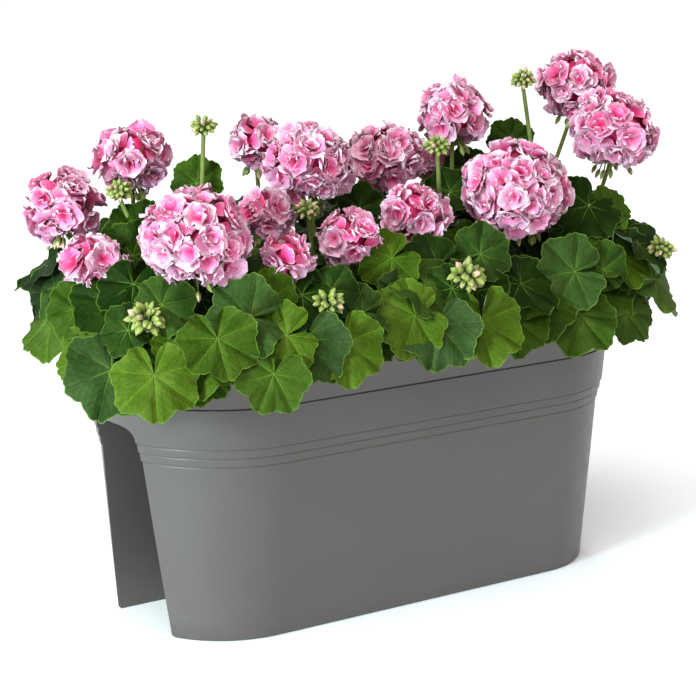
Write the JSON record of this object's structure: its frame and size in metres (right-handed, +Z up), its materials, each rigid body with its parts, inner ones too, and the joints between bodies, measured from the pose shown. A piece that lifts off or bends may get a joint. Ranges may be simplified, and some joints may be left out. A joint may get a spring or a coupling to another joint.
{
  "type": "planted railing window box",
  "caption": "Slotted railing planter with round ends, filled with potting soil and pink zonal geraniums in bloom.",
  "frame": {"origin": "bottom centre: on the surface the box stands on, under the middle of the box and half way along its rail slot", "axes": "+X along the box and its rail slot, +Z up, front towards -Y"},
  "size_m": [0.6634, 0.3485, 0.5001],
  "materials": {
    "planter_plastic": "satin warm grey moulded plastic",
    "soil": "crumbly dark potting soil",
    "foliage": "soft green leaves with pale veins and paler scalloped edges",
    "petals": "matt pink petals, deeper at the throat and lilac at the edge"
  },
  "bodies": {
    "root": {"planter_box": "planter_plastic", "potting_soil": "soil", "geranium_1": "foliage", "geranium_2": "foliage", "geranium_3": "foliage", "geranium_4": "foliage", "flower_head_a": "petals", "flower_head_b": "petals", "flower_head_c": "petals", "flower_head_d": "petals", "flower_head_e": "petals", "flower_head_f": "petals", "flower_head_g": "petals", "flower_head_h": "petals", "flower_head_j": "petals", "flower_head_k": "petals", "flower_head_l": "petals", "flower_head_m": "petals", "flower_head_n": "petals", "flower_head_p": "petals", "flower_head_q": "petals", "flower_head_r": "petals"}
  },
  "joints": []
}
